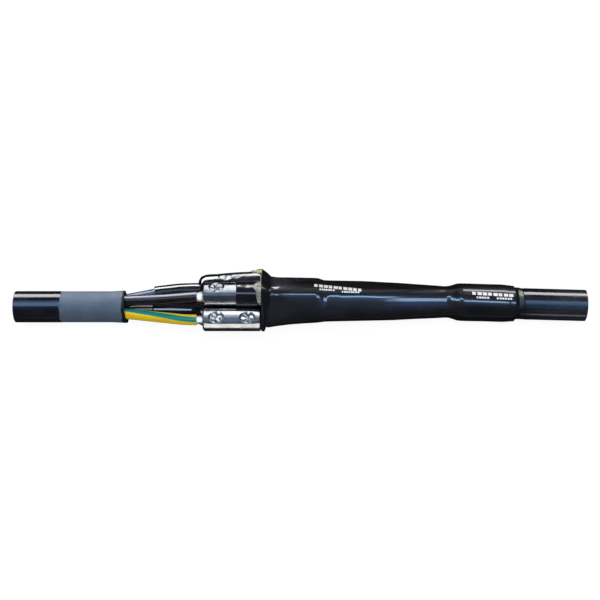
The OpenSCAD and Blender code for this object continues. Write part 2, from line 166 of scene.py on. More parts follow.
coreOrder = ["blue", "black", "brown", "earth"]
leftLines = {c: easedLine(leftCorners[c], joint["leftBend"], joint["lineStep"]) for c in coreOrder}
rightLines = {c: easedLine(rightCorners[c], joint["rightBend"], joint["lineStep"]) for c in coreOrder}


# Making and finishing a piece

def deselectAll():
    if bpy.context.object and bpy.context.object.mode != "OBJECT":
        bpy.ops.object.mode_set(mode="OBJECT")
    bpy.ops.object.select_all(action="DESELECT")


def pick(piece):
    deselectAll()
    piece.select_set(True)
    bpy.context.view_layer.objects.active = piece


def applied(piece, kind, **settings):
    pick(piece)
    modifier = piece.modifiers.new(kind.title(), kind)
    for name, value in settings.items():
        setattr(modifier, name, value)
    bpy.ops.object.modifier_apply(modifier=modifier.name)


def thickened(piece, wall):
    applied(piece, "SOLIDIFY", thickness=wall * mm, offset=-1)


# Rounds the edges that are sharper than the angle
def bevelled(piece, width, segments, angle):
    applied(piece, "BEVEL", width=width * mm, segments=segments, limit_method="ANGLE",
            angle_limit=math.radians(angle))


def smoothed(piece, angle=40):
    pick(piece)
    bpy.ops.object.shade_smooth_by_angle(angle=math.radians(angle))


def lit(piece, shine):
    for group in shineGroups[shine]:
        panelGroups[group].objects.link(piece)


def finished(piece, material, shine, slot, *replaced):
    piece.data.materials.clear()
    piece.data.materials.append(material)
    lit(piece, shine)
    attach(piece, "root")
    if replaced:
        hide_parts(*replaced)


# A new object with its own copy of a mesh
def copied(name, source):
    piece = bpy.data.objects.new(name, source.data.copy())
    piece.data.name = name
    bpy.context.scene.collection.objects.link(piece)
    return piece


# Opens a mesh for editing, with all or nothing of it selected
def openMesh(piece, kind, action):
    pick(piece)
    bpy.ops.object.mode_set(mode="EDIT")
    bpy.ops.mesh.select_mode(type=kind)
    bpy.ops.mesh.select_all(action=action)


# A cylinder cut into rings along its length, each of whose points is then put in its place
def wrappedTube(name, sides, rings, place):
    deselectAll()
    bpy.ops.mesh.primitive_cylinder_add(
        vertices=sides, radius=1, depth=rings - 1, end_fill_type="NOTHING",
        location=(0, 0, (rings - 1) / 2))
    piece = bpy.context.object
    piece.name = piece.data.name = name
    bpy.ops.object.transform_apply(location=True, rotation=True, scale=True)
    openMesh(piece, "EDGE", "DESELECT")
    mesh = bmesh.from_edit_mesh(piece.data)
    for edge in mesh.edges:
        edge.select_set(abs(edge.verts[0].co.z - edge.verts[1].co.z) > 0.5)
    bmesh.update_edit_mesh(piece.data)
    bpy.ops.mesh.subdivide(number_cuts=rings - 2)
    bpy.ops.object.mode_set(mode="OBJECT")
    for vertex in piece.data.vertices:
        turn = math.atan2(vertex.co.y, vertex.co.x)
        vertex.co = place(round(vertex.co.z), turn) * mm
    return piece


# Where a point of a sweep goes: radiusAt gives its distance from the line
def sweptPlace(points, radiusAt):
    frames = []
    for k in range(len(points)):
        forward = heading(points, k)
        across = Vector((0, 0, 1)).cross(forward).normalized()
        frames.append((points[k], across, forward.cross(across)))

    def place(k, turn):
        centre, across, up = frames[k]
        return centre + (across * math.cos(turn) + up * math.sin(turn)) * radiusAt(k, turn)
    return place


def closeEnds(piece):
    openMesh(piece, "EDGE", "DESELECT")
    bpy.ops.mesh.select_non_manifold()
    bpy.ops.mesh.edge_face_add()
    bpy.ops.mesh.select_all(action="SELECT")
    bpy.ops.mesh.normals_make_consistent(inside=False)
    bpy.ops.object.mode_set(mode="OBJECT")


# Presses the surface in round a point, as a thumb would
def pushed(piece, centre, reach, depth, toward):
    centre, toward = Vector(centre) * mm, Vector(toward).normalized()
    for vertex in piece.data.vertices:
        distance = (vertex.co - centre).length / (reach * mm)
        if distance < 1:
            vertex.co += toward * (depth * mm * (1 - distance * distance) ** 2)


# Shader nodes

# Puts a number, a colour or a wire into a socket
def fed(socket, value):
    if isinstance(value, Wire):
        value.tree.links.new(value.socket, socket)
    elif isinstance(value, tuple):
        socket.default_value = (*value, 1)
    elif value is not None:
        socket.default_value = value


# A node of a tree: its inputs are given by name or number, and its outputs are read as wires
class Block:
    def __init__(self, tree, kind, inputs=None, **settings):
        self.tree, self.node = tree, tree.nodes.new(kind)
        for name, value in settings.items():
            setattr(self.node, name, value)
        for name, value in (inputs or {}).items():
            fed(self.node.inputs[name], value)

    def __getitem__(self, name):
        return Wire(self.tree, self.node.outputs[name])


# A value that runs between nodes: sums and products of wires are nodes too
class Wire:
    def __init__(self, tree, socket):
        self.tree, self.socket = tree, socket

    def maths(self, operation, *others):
        return Block(self.tree, "ShaderNodeMath", dict(enumerate((self, *others))), operation=operation)[0]

    def __add__(self, other):
        return self.maths("ADD", other)

    def __sub__(self, other):
        return self.maths("SUBTRACT", other)

    def __rsub__(self, other):
        return self.maths("MULTIPLY_ADD", -1, other)

    def __mul__(self, other):
        return self.maths("MULTIPLY", other)

    # Eases from a to b while the value goes from low to high
    def ranged(self, low, high, a=0, b=1):
        numbers = dict(enumerate((self, low, high, a, b)))
        return Block(self.tree, "ShaderNodeMapRange", numbers, interpolation_type="SMOOTHSTEP")["Result"]

    # The colour a, and b where the value is 1
    def mixed(self, a, b):
        return Block(self.tree, "ShaderNodeMix", {0: self, 6: a, 7: b}, data_type="RGBA")[2]


def newMaterial(name):
    material = bpy.data.materials.new(name)
    material.use_nodes = True
    return material, material.node_tree, material.node_tree.nodes["Principled BSDF"]


shaderInputs = {
    "colour": "Base Color", "rough": "Roughness", "gloss": "Specular IOR Level", "metal": "Metallic",
    "coat": "Coat Weight", "coatRough": "Coat Roughness", "glow": "Emission Strength",
    "glowColour": "Emission Color",
}


def shaded(shader, **inputs):
    for name, value in inputs.items():
        fed(shader.inputs[shaderInputs[name]], value)


# Camera, light and floor

view = {"middle": (0.3551, 0.00844), "height": 1.5, "lens": 72, "sensor": 36, "farthest": 30}
bpy.ops.object.camera_add(location=(*view["middle"], view["height"]), rotation=(0, 0, 0))
camera = bpy.context.object
camera.name = "PhotoCamera"
camera.data.lens = view["lens"]
camera.data.sensor_width = view["sensor"]
camera.data.clip_end = view["farthest"]
bpy.context.scene.camera = camera

bpy.context.scene.view_settings.view_transform = "Standard"

# Besides the floor, a dark sheet that is seen only in reflections: its colour is a painted reflection of
# shade
studio = {
    "room": (0.04, 0.045, 0.055), "middle": (0.36, 0, 0), "floorSize": 14, "floorColour": 0.3,
    "floorGlow": 0.83, "clothLength": 3.2, "clothWidth": 3.0, "clothLift": 0.0004,
    "clothColour": (0.01, 0.01, 0.012), "sheetX": 0.355,
}
# The room is dim, and white only where the camera sees it
room = bpy.data.worlds.new("StudioRoom")
bpy.context.scene.world = room
room.use_nodes = True
seen = Block(room.node_tree, "ShaderNodeLightPath")["Is Camera Ray"]
backdrop = room.node_tree.nodes["Background"]
fed(backdrop.inputs["Color"], seen.mixed(studio["room"], (1, 1, 1)))
fed(backdrop.inputs["Strength"], 1.0)

# Lamps that light every piece and don't show in its shine: place, width, length, power and colour
softLamps = {
    "KeySoftbox": ((0.36, 1.75, 1.15), 1.2, 2.6, 34.0, (1, 0.99, 0.98)),
    "TopSoftbox": ((0.36, 0.1, 2.2), 1.6, 2.2, 24.0, (0.9, 0.95, 1)),
    "FillSoftbox": ((0.36, -1.45, 1.2), 1.2, 2.4, 14.0, (1, 1, 1)),
}
# Which panels each kind of piece mirrors
shineGroups = {
    "cable": ["whiteStrips", "cableGlow", "cableLow"], "core": ["whiteStrips", "coreStrip", "coreGlow"],
    "brownCore": ["whiteStrips", "brownLine"], "earthCore": ["coreGlow"], "brownSleeve": ["brownLine"],
    "blueSleeve": ["brokenStrip", "coreGlow"], "blackSleeve": ["glint", "sleeveLine"],
    "adhesive": ["coreGlow"], "bead": [], "tube": ["tubeStrips"], "metal": ["metalSky"],
    "bareMetal": ["metalSky", "metalFront"], "wire": ["wireSky"],
}
# Panels between two edges (Y, Z), by group: both ends (X), the edges and the radiance
edgePanels = {
    "whiteStrips": {
        "WhiteStripLeft": (-0.5, 0.45, (0.12, -0.016), (0.35, 0.106), (8.2, 8.3, 8.8)),
        "WhiteStripRight": (0.45, 1.3, (0.12, 0.0), (0.35, 0.116), (8.4, 8.5, 9.0)),
    },
    "brokenStrip": {
        "BrokenStripStart": (-0.5, 0.2415, (0.12, -0.016), (0.35, 0.106), (15, 15.2, 15.6)),
        "BrokenStripEnd": (0.2535, 0.4, (0.12, -0.016), (0.3, 0.07), (12, 12.2, 12.8)),
    },
    "tubeStrips": {"TubeStripLeft": (0.0, 0.33, (0.12, -0.018), (0.35, 0.106), (7, 7.2, 7.8))},
    "metalFront": {"MetalGap": (0.2, 0.32, (0.0255, 0.0735), (0.0365, 0.0625), (1.15, 1.1, 1.05))},
}
# Panels round the joint, by group: the distance, both ends (X), the angles off straight up, toward +Y,
# that they reach from and to, and the radiance
roundPanels = {
    "coreStrip": {"CoreStrip": (0.4, -0.5, 0.45, 52, 74, (4.2, 4.4, 4.9))},
    "glint": {"Glint": (0.35, 0.265, 0.285, 66, 80, (26, 26.2, 26.6))},
    "sleeveLine": {"SleeveLine": (1, -0.2, 0.4, 3, 13, (2.4, 2.4, 4.6))},
    "brownLine": {"BrownLine": (1, -0.14, 0.118, -8, 13, (5.2, 6.6, 10.0))},
    "tubeStrips": {
        "TubeStripRight": (0.35, 0.6, 0.82, 71, 82, (6, 6.1, 6.5)),
        "TubeLineLip": (1, 0.0, 0.385, 8, 18.5, (4.0, 6.6, 10.2)),
        "TubeLineLeft": (1, 0.42, 0.56, 17.5, 24, (3.6, 7.0, 11.0)),
        "TubeLineMiddle": (1, 0.56, 0.6, 15.5, 21.5, (3.6, 7.0, 11.0)),
        "TubeLineThird": (1, 0.6, 0.635, 14, 19.5, (3.9, 7.2, 11.2)),
        "TubeLineRight": (1, 0.635, 0.67, 12.5, 17.5, (4.4, 7.4, 11.4)),
        "TubeLineCollar": (1, 0.67, 0.98, 2.5, 11.5, (3.8, 5.8, 9.0)),
        "TubeGlow": (1, 0.3, 0.585, 10, 15.5, (0.1, 0.2, 0.55)),
        "TubeGlowLow": (1, 0.3, 0.585, 5, 10, (0.05, 0.09, 0.26)),
        "TubeGlowRight": (1, 0.585, 0.67, 9, 14, (0.1, 0.2, 0.55)),
        "TubeGlowRightLow": (1, 0.585, 0.67, 6.5, 9, (0.04, 0.08, 0.24)),
        "TubeGlowCollar": (1, 0.67, 1.0, -8, 2.5, (0.15, 0.28, 0.9)),
        "TubeGlowCollarLow": (1, 0.67, 0.9, -20, -8, (0.05, 0.09, 0.3)),
        "TubeSheen": (1, 0.42, 0.62, 46, 114, (0.3, 0.29, 0.34)),
        "TubeSheenCollar": (1, 0.66, 0.95, 46, 114, (0.42, 0.42, 0.46)),
    },
    "cableGlow": {
        "CableGlowLeft1": (1, -0.8, 0.3, -14, 5, (0.01, 0.09, 0.42)),
        "CableGlowLeft2": (1, -0.8, 0.3, 5, 31, (1.25, 2.2, 3.8)),
        "CableGlowLeft3": (1, -0.8, 0.3, 31, 39, (0.75, 1.3, 2.3)),
        "CableGlowLeft4": (1, -0.8, 0.3, 39, 48, (0.35, 0.65, 1.2)),
        "CableGlowRight1": (1, 0.3, 1.7, -32, -16, (0.02, 0.12, 0.38)),
        "CableGlowRight2": (1, 0.3, 1.7, -16, -5, (0.06, 0.3, 0.78)),
        "CableGlowRight3": (1, 0.3, 1.7, -5, 4, (0.24, 0.68, 1.4)),
        "CableGlowRight4": (1, 0.3, 1.7, 4, 13, (0.66, 1.36, 2.46)),
        "CableGlowRight5": (1, 0.3, 1.7, 13, 27.5, (0.92, 1.64, 2.84)),
    },
    "cableLow": {"CableLow": (0.5, 0.72, 1.3, -76, -87, (1.5, 1.3, 1.75))},
    "coreGlow": {"CoreGlow": (1, -0.8, 1.7, 4, 30, (0.7, 0.95, 1.35))},
    "metalSky": {
        "MetalBack": (1, -0.2, 1.0, 50, 110, (0.88, 0.9, 0.92)),
        "MetalMiddle": (1, -0.2, 1.0, 22, 50, (0.36, 0.39, 0.42)),
        "MetalTop": (1, -0.2, 1.0, -12, 22, (0.06, 0.1, 0.15)),
    },
    "metalFront": {"MetalFront": (0.6, -0.2, 1.0, -36, -84, (0.85, 0.82, 0.75))},
    "wireSky": {"WireSky": (1, -0.2, 1.0, -60, 100, (1.0, 1.06, 1.12))},
}
panelGroups = {}
for name in sorted({name for names in shineGroups.values() for name in names}):
    panelGroups[name] = bpy.data.collections.new(name)
    bpy.context.scene.collection.children.link(panelGroups[name])


def softLamp(name, place, aim, width, length, power, colour):
    bpy.ops.object.light_add(type="AREA", location=place)
    lamp = bpy.context.object
    lamp.name = name
    lamp.rotation_euler = (Vector(aim) - Vector(place)).to_track_quat("-Z", "Y").to_euler()
    lamp.data.shape = "RECTANGLE"
    lamp.data.size = length
    lamp.data.size_y = width
    lamp.data.energy = power
    lamp.data.color = colour
    lamp.visible_camera = False
    lamp.visible_glossy = False
    return lamp


# A lit panel that faces the joint and is seen only in the shine of one group of pieces
def panel(name, group, x0, x1, low, high, radiance):
    a, b = Vector((0, *low)), Vector((0, *high))
    middle = (a + b) / 2
    middle.x = (x0 + x1) / 2
    width, length, strongest = (a - b).length, x1 - x0, max(radiance)
    facing = Vector((0, b.z - a.z, a.y - b.y))
    if facing.dot(middle - Vector((middle.x, 0, 0))) > 0:
        facing.negate()
    lamp = softLamp(name, middle, middle + facing, width, length, strongest * 4 * width * length,
                    [c / strongest for c in radiance])
    lamp.visible_glossy = True
    lamp.visible_diffuse = False
    lamp.light_linking.receiver_collection = panelGroups[group]


for name, (place, *values) in softLamps.items():
    softLamp(name, place, studio["middle"], *values)
for group, panels in edgePanels.items():
    for name, values in panels.items():
        panel(name, group, *values)
for group, panels in roundPanels.items():
    for name, (distance, x0, x1, *tilts, radiance) in panels.items():
        low, high = [(distance * math.sin(a), distance * math.cos(a)) for a in map(math.radians, tilts)]
        panel(name, group, x0, x1, low, high, radiance)


# A matt sheet that lies under the joint
def sheet(name, length, width, lift, colour):
    deselectAll()
    bpy.ops.mesh.primitive_plane_add(size=1, location=(studio["sheetX"], 0, cadBox[0][2] + lift))
    piece = bpy.context.object
    piece.name = name
    piece.scale = (length, width, 1)
    paint, tree, shader = newMaterial(f"{name}Paint")
    shaded(shader, colour=colour, rough=1.0, gloss=0.0)
    piece.data.materials.append(paint)
    return piece, tree, shader


floor, floorTree, floorShader = sheet("PaleFloor", studio["floorSize"], studio["floorSize"], 0,
                                      (studio["floorColour"],) * 3)
rays = Block(floorTree, "ShaderNodeLightPath")
shown = rays["Is Camera Ray"]
for kind in ("Glossy", "Transmission"):
    shown = shown.maths("MAXIMUM", rays[f"Is {kind} Ray"])
shaded(floorShader, glowColour=(1, 1, 1), glow=shown * studio["floorGlow"])

# A dark sheet round the joint, out of the camera's sight and seen only in the shine: the shiny sides mirror
# it, a painted reflection of shade where the pale floor lies
shadeSheet, *_ = sheet("ReflectedShadeSheet", studio["clothLength"], studio["clothWidth"], studio["clothLift"],
                  studio["clothColour"])
for sense in ("camera", "diffuse", "shadow", "transmission"):
    setattr(shadeSheet, f"visible_{sense}", False)
print("camera, light and floor are set")


# Shared effects

# A node group with number inputs and their usual values; build gives its outputs from them
def newGroup(name, inputs, build):
    group = bpy.data.node_groups.new(name, "ShaderNodeTree")
    for label, usual in inputs.items():
        socket = group.interface.new_socket(label, in_out="INPUT", socket_type="NodeSocketFloat")
        socket.default_value = usual
    outputs = build(group, Block(group, "NodeGroupInput"))
    for label in outputs:
        group.interface.new_socket(label, in_out="OUTPUT", socket_type="NodeSocketFloat")
    Block(group, "NodeGroupOutput", outputs)
    return group


# A point's object coordinates in millimetres
def pointAt(tree):
    place = Block(tree, "ShaderNodeTexCoord")["Object"]
    split = Block(tree, "ShaderNodeSeparateXYZ", {0: place})
    return [split[axis] * 1000 for axis in "XYZ"]


# The same, squeezed along the joint and across it
def squeezed(tree, alongScale, acrossScale):
    scales = (alongScale, acrossScale, acrossScale)
    numbers = dict(enumerate(axis * scale for axis, scale in zip(pointAt(tree), scales)))
    return Block(tree, "ShaderNodeCombineXYZ", numbers)[0]


# Noise of any stretch: lines drawn along the joint, rings round it, or even grain
def grainOutputs(group, given):
    place = squeezed(group, given["Along"], given["Across"])
    inputs = {"Vector": place, "Scale": 1.0, "Detail": given["Detail"]}
    value = Block(group, "ShaderNodeTexNoise", inputs)["Fac"]
    return {"Value": value, "Mask": value.ranged(given["Low"], given["High"])}


# Rubbed edges: the sharp outward corners, broken up by grain
def edgeOutputs(group, given):
    edge = Block(group, "ShaderNodeNewGeometry")["Pointiness"].ranged(given["Start"], given["Full"])
    inputs = {"Vector": squeezed(group, 0.35, 0.6), "Scale": 1.0, "Detail": 4}
    patches = Block(group, "ShaderNodeTexNoise", inputs)["Fac"].ranged(0.4, 0.6)
    return {"Mask": edge * (1 - given["Breakup"] * patches)}


# Scattered specks of dust and small scuffs
def dustOutputs(group, given):
    inputs = {"Vector": squeezed(group, 0.3, 0.35), "Scale": 1.0}
    cells = Block(group, "ShaderNodeTexVoronoi", inputs, feature="F1")
    shade = Block(group, "ShaderNodeSeparateColor", {0: cells["Color"]})[0]
    spot = cells["Distance"].ranged(0, given["Size"] * 0.3, 1, 0)
    return {"Mask": spot * shade.maths("LESS_THAN", given["Density"])}


grainGroup = newGroup("drawnGrain", {"Along": 0.1, "Across": 0.1, "Detail": 3, "Low": 0.3, "High": 0.7},
                      grainOutputs)
edgeGroup = newGroup("rubbedEdges", {"Start": 0.52, "Full": 0.6, "Breakup": 0.6}, edgeOutputs)
dustGroup = newGroup("dustSpecks", {"Density": 0.25, "Size": 0.45}, dustOutputs)


def placed(tree, group, **values):
    return Block(tree, "ShaderNodeGroup", values, node_tree=group)


# Wrinkles per millimetre along and across the joint, how fine they are, and where the mask starts and is full
def grain(tree, lengthwise, across, detail, low=0.3, high=0.7):
    return placed(tree, grainGroup, Along=lengthwise, Across=across, Detail=detail, Low=low, High=high)


# Stacks bump layers of (height, depth in millimetres)
def bumped(tree, shader, *layers):
    normal = None
    for height, depth in layers:
        inputs = {"Strength": 1.0, "Distance": depth * mm, "Height": height, "Normal": normal}
        normal = Block(tree, "ShaderNodeBump", inputs)["Normal"]
    fed(shader.inputs["Normal"], normal)


# Materials

plasticWear = {
    "scuffRough": 0.12, "dustRough": 0.2, "dusty": 0.35, "dustColour": (0.3, 0.3, 0.3), "uneven": (0.8, 1.25),
}


# Extruded or shrunk plastic: drawn lines, uneven gloss, dust, scuffs and rubbed edges
def plasticMaterial(name, look, extra=None):
    material, tree, shader = newMaterial(name)
    cloud, scuffs = grain(tree, 0.03, 0.05, 3, 0.35, 0.65), grain(tree, 0.09, 0.8, 6, 0.62, 0.74)["Mask"]
    wear = placed(tree, edgeGroup, Start=0.53, Full=0.62, Breakup=0.5)["Mask"]
    dust = placed(tree, dustGroup, Density=look.get("dust", 0.12), Size=0.4)["Mask"]
    colour = cloud["Mask"].mixed(look["colour"], look["shade"])
    colour = (scuffs * look["scuff"]).mixed(colour, look["worn"])
    colour = (wear * look["edge"]).mixed(colour, look["worn"])
    colour = (dust * plasticWear["dusty"]).mixed(colour, plasticWear["dustColour"])
    rough = cloud["Value"].ranged(0.35, 0.65, *[look["rough"] * share for share in plasticWear["uneven"]])
    rough = rough + scuffs * plasticWear["scuffRough"] + dust * plasticWear["dustRough"]
    heights = [(grain(tree, look["lineAlong"], look["lineAcross"], 4)["Value"], look["lineDepth"]),
               (grain(tree, 1.6, 1.6, 2)["Value"], look["fineDepth"])]
    if extra:
        colour, rough, heights = extra(tree, colour, rough, heights)
    bumped(tree, shader, *heights)
    shaded(shader, colour=colour, rough=rough, gloss=look["gloss"], coat=look.get("coat", 0),
           coatRough=look.get("coatRough", 0.06))
    return material


# rim is a darker black for the mouth's rim of the sheath, painted shade
sheathLook = {
    "colour": (0.006, 0.006, 0.009), "shade": (0.01, 0.011, 0.016), "worn": (0.05, 0.055, 0.065),
    "scuff": 0.2, "edge": 0.4, "rough": 0.14, "gloss": 0.5, "lineAlong": 0.006, "lineAcross": 1.3,
    "lineDepth": 0.01, "fineDepth": 0.004, "rim": (0.003, 0.003, 0.004),
    "matt": (0.058, 0.087, 0.132), "mattShade": (0.078, 0.108, 0.15), "mattRough": 0.7,
    "rings": (0.14, 0.175, 0.22), "ringed": 0.22, "ringRough": 0.1, "ringDepth": 0.05,
    "scratches": (0.04, 0.053, 0.085), "scratched": 0.2, "scratchDepth": 0.03,
}


# The matt, scratched stretch of a sheath that was roughened for the tube to grip, and past rimX a mouth rim
# painted a darker black and made fully rough: painted shade without shine
def abradedBand(startX, endX, ragged, rimX):
    look = sheathLook

    def extra(tree, colour, rough, heights):
        x = pointAt(tree)[0]
        shifted = x + (grain(tree, 0.05, 0.16, 4)["Value"] - 0.5) * ragged
        band = shifted.ranged(startX - 0.4, startX + 0.6) * shifted.ranged(endX - 0.5, endX + 0.5, 1, 0)
        rings, cross = grain(tree, 2.2, 0.12, 5, 0.35, 0.7), grain(tree, 0.25, 1.4, 5, 0.45, 0.75)
        matt = grain(tree, 0.05, 0.07, 3, 0.35, 0.65)["Mask"].mixed(look["matt"], look["mattShade"])
        matt = (rings["Mask"] * look["ringed"]).mixed(matt, look["rings"])
        matt = (cross["Mask"] * look["scratched"]).mixed(matt, look["scratches"])
        mattRough = rings["Value"] * look["ringRough"] + look["mattRough"]
        # past rimX the colour turns to the darker rim black, painted shade, and the roughness goes to full
        rim = x.ranged(rimX - 0.4, rimX + 0.4)
        rough = Block(tree, "ShaderNodeMix", {0: band, 2: rough, 3: mattRough}, data_type="FLOAT")[0]
        heights = heights + [(band * rings["Value"], look["ringDepth"]),
                             (band * cross["Value"], look["scratchDepth"])]
        return rim.mixed(band.mixed(colour, matt), look["rim"]), rough.maths("MAXIMUM", rim), heights
    return extra


leftSheathMaterial = plasticMaterial("leftSheathPlastic", sheathLook, abradedBand(57.5, 134.4, 5, 134.8))
rightSheathMaterial = plasticMaterial("rightSheathPlastic", sheathLook, abradedBand(500, 617, 1, 2000))

coreLook = {
    "worn": (0.3, 0.3, 0.3), "scuff": 0.12, "edge": 0.35, "rough": 0.22, "gloss": 0.5,
    "lineAlong": 0.01, "lineAcross": 1.6, "lineDepth": 0.012, "fineDepth": 0.004, "dust": 0.06,
}


def coreMaterial(name, colour, shade, extra=None, **changes):
    return plasticMaterial(name, {**coreLook, "colour": colour, "shade": shade, **changes}, extra)


stripes = {
    "twist": -1.72, "turn": 0.353, "edge": 0.5, "blur": 0.06, "wobble": 0.02,
    "green": (0.003, 0.2, 0.165), "greenShade": (0.005, 0.27, 0.23),
    "yellow": (0.78, 0.5, 0.01), "yellowShade": (0.88, 0.6, 0.016),
}


# Green on yellow, winding slowly round the core. The piece's own map gives the turn and the length
def earthStripes(tree, colour, rough, heights):
    split = Block(tree, "ShaderNodeSeparateXYZ", {0: Block(tree, "ShaderNodeUVMap", uv_map="coreMap")[0]})
    turn = split["X"] + split["Y"] * stripes["twist"]
    turn = turn + (grain(tree, 0.05, 0.2, 2)["Value"] - 0.5) * stripes["wobble"]
    wave = ((turn - stripes["turn"]) * (4 * math.pi)).maths("COSINE")
    band = wave.ranged(stripes["edge"] - stripes["blur"], stripes["edge"] + stripes["blur"])
    cloud = grain(tree, 0.04, 0.1, 3)["Mask"]
    green = cloud.mixed(stripes["green"], stripes["greenShade"])
    return band.mixed(cloud.mixed(stripes["yellow"], stripes["yellowShade"]), green), rough, heights


coreMaterials = {
    "blue": coreMaterial("blueInsulation", (0.045, 0.068, 0.155), (0.06, 0.09, 0.19)),
    "black": coreMaterial("blackInsulation", (0.006, 0.006, 0.009), (0.012, 0.012, 0.016), gloss=0.65),
    "brown": coreMaterial("brownInsulation", (0.028, 0.013, 0.007), (0.042, 0.02, 0.01)),
    "earth": coreMaterial("earthInsulation", (0.7, 0.4, 0.01), (0.8, 0.5, 0.02), earthStripes),
}
print("plastics of cables and cores are mixed")

sleeveLook = {
    "colour": (0.006, 0.006, 0.01), "shade": (0.012, 0.012, 0.02), "worn": (0.07, 0.07, 0.08),
    "scuff": 0.2, "edge": 0.3, "rough": 0.16, "gloss": 0.6, "lineAlong": 0.03, "lineAcross": 0.5,
    "lineDepth": 0.03, "fineDepth": 0.006, "dust": 0.08,
}
sleeveMaterial = plasticMaterial("innerSleevePlastic", sleeveLook)

tubeLook = {
    "colour": (0.0055, 0.005, 0.0062), "shade": (0.0072, 0.0066, 0.0082), "worn": (0.05, 0.05, 0.055),
    "scuff": 0.2, "edge": 0.3, "rough": 0.4, "gloss": 0.25, "lineAlong": 0.02, "lineAcross": 0.35,
    "lineDepth": 0.04, "fineDepth": 0.008, "dust": 0.08, "coat": 1.0, "coatRough": 0.07,
    "print": (0.93, 0.93, 0.93), "printHeight": 0.03, "barShare": 0.66, "barSpread": 0.2,
}
# Marks of the tube: start, slant, height and rows of plain bars, all in millimetres
tubeMarks = [
    {"x": 372.6, "y": 26.6, "slope": -0.105, "length": 60, "height": 3.4, "bars": 10},
    {"x": 379.0, "y": 21.6, "slope": -0.06, "length": 19, "height": 2.0, "bars": 7},
    {"x": 406.5, "y": 18.6, "slope": -0.03, "length": 22, "height": 2.0, "bars": 8},
    {"x": 567.5, "y": 16.9, "slope": -0.06, "length": 52, "height": 3.6, "bars": 8},
    {"x": 572.5, "y": 11.7, "slope": -0.04, "length": 16, "height": 2.2, "bars": 5},
    {"x": 597.5, "y": 10.5, "slope": -0.04, "length": 20, "height": 2.2, "bars": 6},
]


# Rows of plain pale bars on the crest of the tube
def tubeMarking(tree, colour, rough, heights):
    x, y, z = pointAt(tree)
    shown = None
    for mark in tubeMarks:
        offX, length, half = x - mark["x"], mark["length"], mark["height"] / 2
        offY = y - mark["y"] - offX * mark["slope"]
        inX = offX.ranged(-0.2, 0.2) * offX.ranged(length - 0.2, length + 0.2, 1, 0)
        inY = offY.maths("ABSOLUTE").ranged(half - 0.25, half + 0.25, 1, 0)
        steps = offX * (mark["bars"] / length)
        order = (steps.maths("FLOOR").maths("SINE") * 43.7).maths("FRACT")
        barEnd = order * tubeLook["barSpread"] + tubeLook["barShare"]
        one = inX * inY * (barEnd - steps.maths("FRACT")).ranged(-0.03, 0.03)
        shown = shown.maths("MAXIMUM", one) if shown else one
    shown = shown * z.maths("GREATER_THAN", 0) * grain(tree, 0.5, 0.5, 4, 0.22, 0.38)["Mask"]
    return shown.mixed(colour, tubeLook["print"]), rough, heights + [(shown, tubeLook["printHeight"])]


tubeMaterial = plasticMaterial("outerTubePlastic", tubeLook, tubeMarking)

fillingLook = {
    "colour": (0.02, 0.02, 0.022), "shade": (0.035, 0.035, 0.037), "worn": (0.12, 0.12, 0.12),
    "scuff": 0.4, "edge": 0.3, "rough": 0.7, "gloss": 0.3, "lineAlong": 0.5, "lineAcross": 0.5,
    "lineDepth": 0.15, "fineDepth": 0.05,
}
fillingMaterial = plasticMaterial("fillingCompound", fillingLook)


metalWear = {
    "scratched": 0.4, "rubbed": 0.7, "scratchRough": 0.12, "scratchDepth": 0.02, "cloudDepth": 0.06,
    "uneven": (0.75, 1.3),
}


# Satin metal: turning rings or drawn lines, tarnish, scratches and bright rubbed edges
def metalMaterial(name, look):
    material, tree, shader = newMaterial(name)
    cloud, scratch = grain(tree, 0.09, 0.11, 4, 0.35, 0.68), grain(tree, 0.12, 1.5, 7, 0.6)
    wear = placed(tree, edgeGroup, Start=0.52, Full=0.58, Breakup=0.3)["Mask"]
    colour = cloud["Mask"].mixed(look["colour"], look["tarnish"])
    colour = (scratch["Mask"] * metalWear["scratched"]).mixed(colour, look["dark"])
    colour = (wear * metalWear["rubbed"]).mixed(colour, look["bright"])
    rough = cloud["Value"].ranged(0.3, 0.7, *[look["rough"] * share for share in metalWear["uneven"]])
    shaded(shader, colour=colour, rough=rough + scratch["Mask"] * metalWear["scratchRough"], metal=1.0)
    bumped(tree, shader, (grain(tree, look["ringAlong"], look["ringAcross"], 5)["Value"], look["ringDepth"]),
           (scratch["Value"], metalWear["scratchDepth"]), (cloud["Value"], metalWear["cloudDepth"]))
    return material


connectorLook = {
    "colour": (0.8, 0.81, 0.83), "tarnish": (0.62, 0.64, 0.68), "dark": (0.35, 0.36, 0.4),
    "bright": (0.95, 0.95, 0.95), "rough": 0.19, "ringAlong": 1.7, "ringAcross": 0.05, "ringDepth": 0.02,
}
connectorMaterial = metalMaterial("tinnedConnector", connectorLook)
# Bolt metal in two copies of one material: a brighter, bluer copy for the earth connector's bolts, which face
# the camera, is painted light, and a darker grey copy for the other bolts is painted shade
litBoltLook = {
    "colour": (0.82, 0.87, 0.95), "tarnish": (0.66, 0.72, 0.82), "dark": (0.25, 0.26, 0.3),
    "bright": (0.98, 0.98, 1.0), "rough": 0.15, "ringAlong": 0.5, "ringAcross": 0.5, "ringDepth": 0.05,
}
litBoltMaterial = metalMaterial("litShearBoltMetal", litBoltLook)
shadedBoltLook = {**litBoltLook, "colour": (0.74, 0.75, 0.76), "tarnish": (0.5, 0.51, 0.54)}
shadedBoltMaterial = metalMaterial("shadedBoltMetal", shadedBoltLook)
wireLook = {
    "colour": (0.9, 0.91, 0.93), "tarnish": (0.75, 0.77, 0.8), "dark": (0.45, 0.46, 0.5),
    "bright": (1.0, 1.0, 1.0), "rough": 0.42, "ringAlong": 0.06, "ringAcross": 1.4, "ringDepth": 0.02,
}
wireMaterial = metalMaterial("strandedWire", wireLook)


hotMelt = {
    "bubbly": 0.3, "film": (0.008, 0.008, 0.01), "gloss": 0.35, "rough": (0.22, 0.42), "cloudDepth": 0.7,
    "bubbleDepth": 0.1,
}


